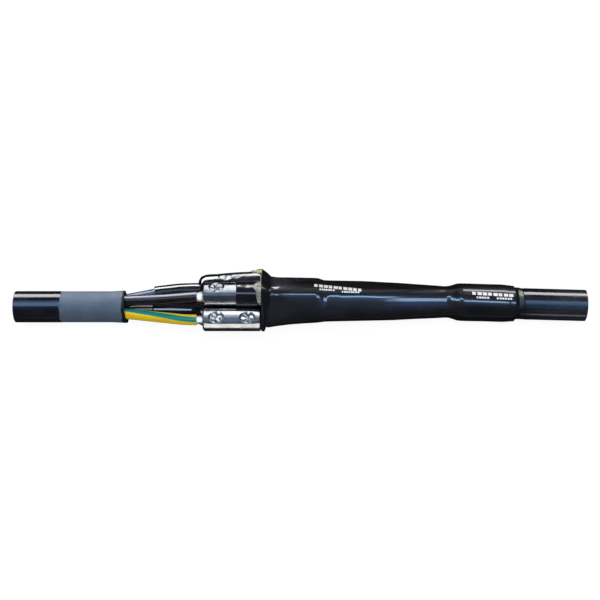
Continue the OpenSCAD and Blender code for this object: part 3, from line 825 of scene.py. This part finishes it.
# Squeezed hot-melt: cloudy and waxy where it is thick, dark where it is thin
def adhesiveMaterial(name, look):
    material, tree, shader = newMaterial(name)
    cloud = grain(tree, 0.16, 0.42, 4, 0.38, 0.6)
    bubbles = placed(tree, dustGroup, Density=0.5, Size=0.7)["Mask"]
    colour = cloud["Mask"].mixed(look["colour"], look["shade"])
    colour = (bubbles * hotMelt["bubbly"]).mixed(colour, look["bubble"])
    pale = Block(tree, "ShaderNodeAttribute", attribute_name="pale")["Fac"].maths("POWER", look["fall"])
    thin = pale.ranged(0.0, 0.4).mixed(hotMelt["film"], look["thin"])
    shaded(shader, colour=pale.ranged(0.35, 0.9).mixed(thin, colour), gloss=hotMelt["gloss"],
           rough=cloud["Value"].ranged(0.3, 0.7, *hotMelt["rough"]))
    bumped(tree, shader, (cloud["Value"], hotMelt["cloudDepth"]), (bubbles, hotMelt["bubbleDepth"]))
    return material


adhesiveTop = adhesiveMaterial("yellowHotMelt", {
    "colour": (0.27, 0.27, 0.07), "shade": (0.66, 0.67, 0.36), "bubble": (0.8, 0.8, 0.6),
    "thin": (0.12, 0.115, 0.025), "fall": 1.2})
adhesiveFront = adhesiveMaterial("creamHotMelt", {
    "colour": (0.24, 0.22, 0.19), "shade": (0.56, 0.52, 0.45), "bubble": (0.7, 0.66, 0.58),
    "thin": (0.13, 0.15, 0.19), "fall": 1.0})
adhesiveBeadMaterial = adhesiveMaterial("paleHotMelt", {
    "colour": (0.33, 0.33, 0.13), "shade": (0.48, 0.47, 0.26), "bubble": (0.55, 0.55, 0.38),
    "thin": (0.07, 0.095, 0.12), "fall": 1.0})
print("metals and hot-melt are mixed")


# Carried-over solids

def dressed(nodeName, material, shine):
    node = nodesOfPart[nodeName]
    for slot in node.material_slots:
        slot.material = material
    lit(node, shine)


dressed("right_sheath", rightSheathMaterial, "cable")
dressed("left_filling", fillingMaterial, "cable")
dressed("right_filling", fillingMaterial, "cable")
coreShine = {"brown": "brownCore", "earth": "earthCore"}
for core in coreOrder:
    dressed(f"right_core_{core}", coreMaterials[core], coreShine.get(core, "core"))


# Left sheath, whose mouth was cut a little askew

leftSheathShape = {
    "sides": 96, "radius": 19.6, "glossLength": 57.5, "mouthX": 136.7, "mouthSkew": 3.0, "wall": 2.0,
    "flare": 0.9, "flareFrom": 118.5, "rim": 0.6, "scrapeEdge": 0.7,
}


def leftSheath():
    shape = leftSheathShape
    gloss, mouth = shape["glossLength"], shape["mouthX"]
    xs = [0, 1, 14, 28, 42, gloss - 0.6, gloss, gloss + 0.6, 72, 86, 100, shape["flareFrom"], 122, 125.5,
          129, 132, 134.5, mouth]

    def place(k, turn):
        x = xs[k]
        scraped = easeBetween(x, gloss - shape["scrapeEdge"], gloss + shape["scrapeEdge"])
        flared = easeBetween(x, shape["flareFrom"], mouth)
        radius = between(shape["radius"], joint["abradedRadius"], scraped) + shape["flare"] * flared
        x += shape["mouthSkew"] * ((1 - math.cos(turn)) / 2) ** 1.5 * flared
        return Vector((x, radius * math.cos(turn), radius * math.sin(turn)))
    piece = wrappedTube("leftSheath", shape["sides"], len(xs), place)
    thickened(piece, shape["wall"])
    bevelled(piece, shape["rim"], 3, 50)
    smoothed(piece)
    finished(piece, leftSheathMaterial, "cable", "sheath", "left_sheath")


leftSheath()
print("left sheath is cut")


# Cores and conductors

coreShape = {
    "sides": 32, "wall": 1.6, "rim": 0.35, "strands": 12, "strandSides": 8, "strandDepth": 0.55,
    "strandBulge": 0.7,
    "layPerMm": 0.045, "splay": 1.5, "splayFrom": -1, "splayTo": 2.5,
}


# Gives a core a map of its own: the turn round it, and the length along it in metres
def mapCore(piece, points):
    layer = piece.data.uv_layers.new(name="coreMap")
    for loop in piece.data.loops:
        place = piece.data.vertices[loop.vertex_index].co / mm
        off = place - lineAt(points, place.x)
        layer.data[loop.index].uv = (math.atan2(off.z, off.y) / (2 * math.pi) + 0.5, place.x * 0.001)


def leftCore(core):
    points = cutLine(leftLines[core], 0, joint["stripLeftX"])
    piece = wrappedTube(f"{core}Core", coreShape["sides"], len(points),
                        sweptPlace(points, lambda k, turn: joint["coreRadius"]))
    thickened(piece, coreShape["wall"])
    bevelled(piece, coreShape["rim"], 2, 60)
    mapCore(piece, points)
    smoothed(piece)
    finished(piece, coreMaterials[core], coreShine.get(core, "core"), f"core_{core}", f"left_core_{core}")


def conductor(core, side, lines):
    points = lines[core]
    depth, strands, strip = coreShape["strandDepth"], coreShape["strands"], joint["stripLeftX"]
    splay = coreShape["splay"] if core == "black" and side == "Left" else 0
    splayEnds = (strip + coreShape["splayFrom"], strip + coreShape["splayTo"])

    def radiusAt(k, turn):
        phase = turn + (points[k] - points[0]).length * coreShape["layPerMm"]
        spread = splay * easeBetween(points[k].x, *splayEnds)
        groove = 1 - abs(math.cos(phase * strands / 2)) ** coreShape["strandBulge"]
        return joint["conductorRadius"] + spread - depth * groove
    piece = wrappedTube(f"{core}Conductor{side}", strands * coreShape["strandSides"], len(points),
                        sweptPlace(points, radiusAt))
    closeEnds(piece)
    smoothed(piece, 50)
    finished(piece, wireMaterial, "wire", "conductor", f"{side.lower()}_conductor_{core}")


for core in coreOrder:
    leftCore(core)
    conductor(core, "Left", leftLines)
    conductor(core, "Right", rightLines)
print("cores and conductors are laid")


# Connectors: copies of the solids with their edges broken

connectorShape = {"edge": 0.35, "segments": 2}
metalShine = {"earth": "bareMetal"}


def connector(core):
    source = nodesOfPart[f"connector_{core}"]
    piece = copied(f"{core}Connector", source)
    piece.data.transform(source.matrix_world)
    openMesh(piece, "VERT", "SELECT")
    bpy.ops.mesh.customdata_custom_splitnormals_clear()
    bpy.ops.mesh.remove_doubles(threshold=weldDistance)
    bpy.ops.mesh.dissolve_limited(angle_limit=math.radians(1))
    bpy.ops.mesh.normals_make_consistent(inside=False)
    bpy.ops.object.mode_set(mode="OBJECT")
    bevelled(piece, connectorShape["edge"], connectorShape["segments"], 28)
    smoothed(piece, 30)
    finished(piece, connectorMaterial, metalShine.get(core, "metal"), "connector", f"connector_{core}")


for core in coreOrder:
    connector(core)
print("connectors are turned")


# Shear bolts: one is made, and copied into every hole

boltShape = {
    "sides": 30, "radius": 6.42, "foot": 3.2, "neck": 10.55, "coneRadius": 7.8, "coneTop": 12.15,
    "tear": 0.7, "dimple": 1.7, "dimpleOff": (1.1, -0.7), "dimpleReach": 2.2, "edge": 0.15,
    "insets": (0.1, 0.22, 0.25, 0.3), "insetShare": 0.98, "spin": 1.3,
}


def boltModel():
    shape = boltShape
    deselectAll()
    bpy.ops.mesh.primitive_cylinder_add(
        vertices=shape["sides"], radius=shape["radius"] * mm, depth=(shape["neck"] - shape["foot"]) * mm,
        end_fill_type="NGON", location=(0, 0, (shape["neck"] + shape["foot"]) / 2 * mm))
    piece = bpy.context.object
    bpy.ops.object.transform_apply(location=True, rotation=True, scale=True)
    openMesh(piece, "FACE", "DESELECT")
    mesh = bmesh.from_edit_mesh(piece.data)
    for face in mesh.faces:
        face.select_set(face.normal.z > 0.9)
    bmesh.update_edit_mesh(piece.data)
    lift = (0, 0, (shape["coneTop"] - shape["neck"]) * mm)
    bpy.ops.mesh.extrude_region_move(TRANSFORM_OT_translate={"value": lift})
    spread = shape["coneRadius"] / shape["radius"]
    bpy.ops.transform.resize(value=(spread, spread, 1))
    for share in shape["insets"]:
        bpy.ops.mesh.inset(thickness=shape["coneRadius"] * share * mm * shape["insetShare"])
    bpy.ops.mesh.poke()
    bpy.ops.object.mode_set(mode="OBJECT")
    for vertex in piece.data.vertices:
        if vertex.co.z < (shape["coneTop"] - 0.1) * mm:
            continue
        x, y = vertex.co.x / mm, vertex.co.y / mm
        far, turn = math.hypot(x, y) / shape["coneRadius"], math.atan2(y, x)
        # five ridges, and three lower ones, where the head tore off
        torn = math.sin(5 * turn + 3 * far) * far * (1.15 - far) * 2 + 0.5 * math.sin(3 * turn - 4 * far)
        offX, offY = shape["dimpleOff"]
        pit = max(0, 1 - math.hypot(x - offX, y - offY) / shape["dimpleReach"])
        rough = shape["tear"] * torn * min(1, 4 * (1 - far) + 0.25)
        vertex.co.z += (rough - shape["dimple"] * ease(pit)) * mm
    bevelled(piece, shape["edge"], 1, 50)
    smoothed(piece, 16)
    return piece


def shearBolts():
    model = boltModel()
    for core in coreOrder:
        # the earth bolts take the painted-light copy of the metal, the others the painted-shade copy
        material = litBoltMaterial if core == "earth" else shadedBoltMaterial
        for side, word in ((-1, "Left"), (1, "Right")):
            centre = lugPoint(core, side * joint["boltPitch"] / 2, 0)
            up = (lugPoint(core, side * joint["boltPitch"] / 2, 1) - centre).normalized()
            turned = Vector((0, 0, 1)).rotation_difference(up).to_matrix().to_4x4()
            spin = Matrix.Rotation(side * boltShape["spin"] + len(core), 4, "Z")
            piece = copied(f"{core}Bolt{word}", model)
            piece.data.transform(Matrix.Translation(centre * mm) @ turned @ spin)
            finished(piece, material, metalShine.get(core, "metal"), "bolt", "shear_bolts")
    bpy.data.objects.remove(model)


shearBolts()
print("shear bolts are in")


# Inner sleeves

sleeveShape = {
    "blueStart": 174.2, "brownStart": 171.5, "blackStart": 277.2, "end": 378.0, "coreRadius": 9.3,
    "lugRadius": 16.3, "sides": 56, "step": 1.2, "wall": 1.5, "rim": 0.3, "ripple": 0.22,
    "evened": 2, "swellAlong": 0.045, "swellRound": 1.4, "dimpleReach": 9.5,
    "dimples": {"blue": 0.3, "black": 0.4, "brown": 0.8},
    "shine": {"blue": "blueSleeve", "black": "blackSleeve", "brown": "brownSleeve"},
}
# Off the end face of the connector: how far the middle and the outside have risen to it
centreRise = {
    "blue": [(-1.9, 1), (0, 0.9), (2.4, 0.4), (6, 0)],
    "brown": [(-1.9, 1), (0.3, 0.85), (3.2, 0.35), (8, 0)],
    "black": [(-1.9, 1), (0.3, 0.85), (3.2, 0.35), (8, 0)],
}
outsideRise = {
    "blue": [(-6, 1), (-1.4, 0.97), (0, 0.88), (1.8, 0.4), (3.6, 0.12), (6, 0)],
    "brown": [(-6, 1), (0, 0.97), (4, 0.72), (9, 0.28), (14, 0)],
    "black": [(-6, 1), (-1.9, 0.95), (0.3, 0.72), (3.2, 0.28), (8, 0)],
}
# Hollows that the blue sleeve shrank into: place, reach and depth
blueHollows = [
    ((262.0, 38.0, 6.5), 9.0, 1.1), ((274.0, 36.6, 9.0), 7.0, 0.5), ((286, 36.6, 10.5), 7.5, 0.7),
    ((298.0, 38.5, 9.0), 6.5, 0.6),
]


# Evens out a row of values, each with its neighbours
def averaged(values):
    for _ in range(sleeveShape["evened"]):
        inner = [(a + b * 2 + c) / 4 for a, b, c in zip(values, values[1:], values[2:])]
        values = [values[0], *inner, values[-1]]
    return values


def sleeve(core):
    half, startX = joint["lugLength"] / 2, sleeveShape[f"{core}Start"]
    count = max(8, round((sleeveShape["end"] - startX) / sleeveShape["step"]))
    centres, radii = [], []
    for k in range(count + 1):
        x = between(startX, sleeveShape["end"], k / count)
        off = abs(x - joint["lugX"]) - half
        line = leftLines[core] if x < joint["lugX"] else rightLines[core]
        onCore = lineAt(line, min(max(x, line[0].x), line[-1].x))
        onLug = lugPoint(core, x - joint["lugX"], 0)
        centres.append(onCore.lerp(onLug, along(centreRise[core], off)))
        risen = along(outsideRise[core], off)
        radii.append(between(sleeveShape["coreRadius"], sleeveShape["lugRadius"], risen))
    centres, radii = averaged(centres), averaged(radii)

    def radiusAt(k, turn):
        lengthwise, across = sleeveShape["swellAlong"], sleeveShape["swellRound"]
        spot = (centres[k].x * lengthwise, math.cos(turn) * across, math.sin(turn) * across + len(core))
        swell = noise.noise(Vector(spot))
        return radii[k] - sleeveShape["ripple"] * (0.5 + swell)
    piece = wrappedTube(f"{core}Sleeve", sleeveShape["sides"], count + 1, sweptPlace(centres, radiusAt))
    inward = lugPoint(core, 0, 0) - lugPoint(core, 0, 1)
    for side in (-1, 1):
        top = lugPoint(core, side * joint["boltPitch"] / 2, sleeveShape["lugRadius"])
        pushed(piece, top, sleeveShape["dimpleReach"], sleeveShape["dimples"][core], inward)
    if core == "blue":
        for place, reach, depth in blueHollows:
            pushed(piece, place, reach, depth, lugPoint(core, 0, 0) - Vector(place))
    thickened(piece, sleeveShape["wall"])
    bevelled(piece, sleeveShape["rim"], 2, 60)
    smoothed(piece)
    finished(piece, sleeveMaterial, sleeveShape["shine"][core], "sleeve", f"sleeve_{core}")


for core in ("blue", "brown", "black"):
    sleeve(core)
print("inner sleeves are shrunk on")


# Outer tube

tubeShape = {
    "sides": 120, "step": 2.2, "lipStep": 0.9, "lipEnd": 319, "gap": 0.25,
    "walls": [(0, 2.9), (24, 3.6), (40, 3.9)],
    "lipRadius": 15.2, "bareLipRadius": 11.6, "lipFade": 11.5, "bareHold": 3.5, "bareFade": 5.7,
    "sleeveWall": 2.7, "solid": 2.4, "taut": 3.0, "slack": 0.6, "slackFrom": 318, "slackTo": 345,
    "ripple": 0.16, "swells": (0.03, 0.05, 0.05), "rippleFade": 15, "middleZ": 3, "squeeze": 1.1,
    "squeezeFrom": 606, "rim": 0.6,
    "chamfer": 0.9, "chamferLength": 2.7, "chamferEnd": 2, "chamferFrom": -0.75,
    "sleevePast": 9, "sleeveFade": 11, "wireCover": 0.6,
}
tubeStations = [
    307.8, 311.328, 313.488, 315, 319.3, 329.598, 345.341, 359.873, 376, 387, 404.68, 431.322, 455.542,
    470.074, 482.184, 505.193, 525.78, 537.89, 549.3, 552, 585.75, 621.5,
]


def axisY(x):
    return joint["rightMouthY"] + (x - joint["collarStartX"]) * math.tan(math.radians(joint["rightSkew"]))


# Across, up and radius of the round things that the tube is stretched over
def discsAt(x):
    shape, pastLip, pastCollar = tubeShape, x - joint["lipX"], x - joint["collarStartX"]
    if pastCollar >= shape["chamferFrom"]:
        chamfer = shape["chamfer"] * clamp01((shape["chamferEnd"] - pastCollar) / shape["chamferLength"])
        return [(axisY(x), 0, joint["abradedRadius"] - chamfer)]
    discs = []
    for core in coreOrder:
        line = lineAt(rightLines[core], x)
        lug = lugPoint(core, x - joint["lugX"], 0)
        if core == "earth":
            share = clamp01((pastLip - shape["bareHold"]) / (shape["bareFade"] - shape["bareHold"]))
            rim, cover = shape["bareLipRadius"], joint["coreRadius"]
            if x < joint["stripRightX"] - shape["wireCover"]:
                cover = joint["conductorRadius"] + shape["wireCover"]
        else:
            share = clamp01(pastLip / shape["lipFade"])
            sleeved = clamp01((sleeveShape["end"] + shape["sleevePast"] - x) / shape["sleeveFade"])
            rim, cover = shape["lipRadius"], joint["coreRadius"] + shape["sleeveWall"] * sleeved
        middle = lug.lerp(line, share)
        discs.append((middle.y, middle.z, between(rim, cover, share)))
    return discs


# A point of the skin: taut between the discs at the lip, and rounder where it has more to bridge
def skinPoint(x, turn):
    c, s = math.cos(turn), math.sin(turn)
    discs = discsAt(x)
    reach = [y * c + z * s + radius for y, z, radius in discs]
    slackness = easeBetween(x, tubeShape["slackFrom"], tubeShape["slackTo"])
    stiff = between(tubeShape["taut"], tubeShape["slack"], slackness)
    shares = [math.exp(stiff * (r - max(reach))) for r in reach]
    total = sum(shares)
    shares = [share / total for share in shares]
    bulge = -sum(share * math.log(share) for share in shares if share > 1e-9) / stiff
    radius = tubeShape["gap"] + along(tubeShape["walls"], x - joint["lipX"]) + bulge
    y = sum(share * (d[0] + d[2] * c) for share, d in zip(shares, discs)) + c * radius
    z = sum(share * (d[1] + d[2] * s) for share, d in zip(shares, discs)) + s * radius
    return Vector((x, y, max(z, cadBox[0][2] / mm)))


# Between a and b at x, leaving and arriving along the neighbours
def easedStep(before, a, b, after, x):
    span = b.x - a.x
    t = (x - a.x) / span

    def slope(p, q, r):
        low, high = (q - p) / (q.x - p.x), (r - q) / (r.x - q.x)
        return Vector([0 if u * v <= 0 else 2 * u * v / (u + v) for u, v in zip(low, high)])
    leave, arrive = slope(before, a, b) * span, slope(a, b, after) * span
    return (a * (2 * t ** 3 - 3 * t ** 2 + 1) + leave * (t ** 3 - 2 * t ** 2 + t)
            + b * (3 * t ** 2 - 2 * t ** 3) + arrive * (t ** 3 - t ** 2))


def outerTube():
    start, end, sides = joint["lipX"], joint["tubeEndX"], tubeShape["sides"]
    xs = [start]
    while xs[-1] < end - tubeShape["step"]:
        xs.append(xs[-1] + tubeShape["lipStep" if xs[-1] < tubeShape["lipEnd"] else "step"])
    xs.append(end)
    columns = []
    for j in range(sides):
        stations = [skinPoint(x, 2 * math.pi * j / sides) for x in tubeStations]
        first, last = stations[0] * 2 - stations[1], stations[-1] * 2 - stations[-2]
        padded = [first] + stations + [last]
        column, k = [], 1
        for x in xs:
            while k < len(stations) - 1 and x > padded[k + 1].x:
                k += 1
            column.append(easedStep(padded[k - 1], padded[k], padded[k + 1], padded[k + 2], x))
        columns.append(column)

    def place(k, turn):
        point = columns[round(turn / (2 * math.pi) * sides) % sides][k].copy()
        swell = noise.noise(point * Vector(tubeShape["swells"]))
        inward = Vector((0, axisY(point.x) - point.y, tubeShape["middleZ"] - point.z)).normalized()
        tight = tubeShape["ripple"] * (0.5 + swell) * clamp01((point.x - start) / tubeShape["rippleFade"])
        tight += tubeShape["squeeze"] * easeBetween(point.x, tubeShape["squeezeFrom"], end)
        return point + inward * tight
    piece = wrappedTube("outerTube", sides, len(xs), place)
    thickened(piece, tubeShape["solid"])
    bevelled(piece, tubeShape["rim"], 3, 60)
    smoothed(piece, 45)
    finished(piece, tubeMaterial, "tube", "tube", "outer_tube")


outerTube()
print("outer tube is shrunk on")


# Squeezed-out adhesive

# A lump of adhesive laid on a surface. place gives a point, its outward way, how high the lump stands
# there and how pale it is
def gluePiece(name, across, lengthwise, place):
    deselectAll()
    bpy.ops.mesh.primitive_grid_add(x_subdivisions=across, y_subdivisions=lengthwise, size=2)
    piece = bpy.context.object
    piece.name = piece.data.name = name
    pale = piece.data.attributes.new("pale", "FLOAT", "POINT")
    for vertex in piece.data.vertices:
        u, v = (vertex.co.x + 1) / 2, (vertex.co.y + 1) / 2
        point, outward, height, shade = place(u, v)
        pale.data[vertex.index].value = shade
        vertex.co = (point + outward * height) * mm
    return piece


def closedLump(piece, material, shine, node, wall=0.5):
    openMesh(piece, "VERT", "SELECT")
    bpy.ops.mesh.remove_doubles(threshold=weldDistance)
    bpy.ops.mesh.normals_make_consistent(inside=False)
    bpy.ops.object.mode_set(mode="OBJECT")
    thickened(piece, wall)
    smoothed(piece, 60)
    finished(piece, material, shine, "adhesive", node)


# Rows of a pad: turn from straight up toward +Y, how far it ran out, how high it stands and how pale it is
padShape = {
    "gap": 0.1, "lump": 0.5, "lumpAlong": (0.09, 3, 0.2), "film": 0.12, "fall": 0.6, "fade": 0.2,
    "across": 60, "lengthwise": 18,
}
topPad = {
    "core": "blue", "radius": 16.35, "shine": "cable",
    "rows": [(46, 1.0, 0.2, 0.4), (54, 6.0, 1.2, 0.7), (63, 12.0, 2.0, 0.9), (72, 14.2, 2.4, 1.0),
             (80, 13.0, 1.9, 0.6), (88, 14.0, 2.2, 1.0), (97, 8.0, 1.6, 0.8), (106, 1.0, 0.2, 0.5)],
}
frontPad = {
    "core": "black", "radius": 16.35, "shine": "adhesive",
    "rows": [(66, 1.0, 0.2, 0.8), (59, 5.6, 1.3, 0.95), (50, 8.2, 1.9, 1.0), (41, 9.6, 2.3, 1.0),
             (31, 9.8, 2.3, 1.0), (21, 8.2, 1.8, 0.9), (12, 6.4, 1.4, 0.6), (2, 6.0, 1.3, 0.5),
             (-10, 6.0, 1.4, 0.6), (-22, 5.2, 1.2, 0.85), (-34, 4.4, 1.0, 0.85), (-46, 3.2, 0.7, 0.7),
             (-58, 1.0, 0.2, 0.4)],
}


def pad(name, look, material, node):
    edge, rows, shape = joint["lipX"] - joint["lugX"] - padShape["gap"], look["rows"], padShape

    def place(u, v):
        spot = u * (len(rows) - 1)
        k = min(int(spot), len(rows) - 2)
        turn = between(rows[k][0], rows[k + 1][0], spot - k)
        length, height, shade = [between(a, b, ease(spot - k)) for a, b in zip(rows[k][1:], rows[k + 1][1:])]
        lump = 1 + shape["lump"] * noise.noise(Vector((turn, v, length)) * Vector(shape["lumpAlong"]))
        rise = height * lump * math.cos(math.pi / 2 * v) ** shape["fall"] + shape["film"]
        a = math.radians(turn)
        centre = lugPoint(look["core"], edge - length * v, 0)
        outward = Vector((0, math.sin(a), math.cos(a)))
        shade *= 1 - shape["fade"] * (1 - math.cos(math.pi / 2 * v))
        return centre + outward * look["radius"], outward, rise, shade
    closedLump(gluePiece(name, shape["across"], shape["lengthwise"], place), material, look["shine"], node)


pad("topAdhesive", topPad, adhesiveTop, "adhesive_lip_top")
pad("frontAdhesive", frontPad, adhesiveFront, "adhesive_lip_front")

# Turn round the cable, how far the bead ran out, how high it stands and how pale it is
beadLook = {
    "radius": 19.43, "wall": 0.4, "gap": 0.05, "lump": 0.3, "film": 0.1, "fall": 2.5, "pale": (0.28, 0.48),
    "paleEnd": 6, "across": 144, "lengthwise": 14,
    "rows": [(-180, 3.0, 0.6, 0.0), (-90, 3.0, 0.8, 0.0), (0, 9.5, 0.9, 0.0), (26, 10.0, 1.0, 0.05),
             (38, 10.5, 1.5, 0.45), (45, 11.0, 2.0, 0.95), (56, 11.0, 2.1, 1.0), (64, 11.0, 1.8, 0.5),
             (72, 11.4, 1.5, 0.28), (88, 12.0, 1.3, 0.2), (102, 10.0, 1.1, 0.12), (114, 7.5, 0.9, 0.0),
             (150, 4.0, 0.7, 0.0), (180, 3.0, 0.6, 0.0)],
}


def adhesiveBead():
    look = beadLook

    def place(u, v):
        turn = -180 + 360 * u
        length, height, shade = [along([(row[0], row[k]) for row in look["rows"]], turn) for k in (1, 2, 3)]
        outward = Vector((0, math.cos(math.radians(turn)), math.sin(math.radians(turn))))
        lump = 1 + look["lump"] * noise.noise(Vector((outward.y * 4, outward.z * 4, v * 2)))
        x = joint["tubeEndX"] + look["gap"] + length * v
        rise = height * lump * (1 - v ** look["fall"]) + look["film"]
        shade *= easeBetween(v, *look["pale"]) * ease((1 - v) * look["paleEnd"])
        return Vector((x, axisY(x), 0)) + outward * look["radius"], outward, rise, shade
    piece = gluePiece("adhesiveBead", look["across"], look["lengthwise"], place)
    closedLump(piece, adhesiveBeadMaterial, "bead", "adhesive_bead", look["wall"])


adhesiveBead()
print("adhesive is squeezed out")
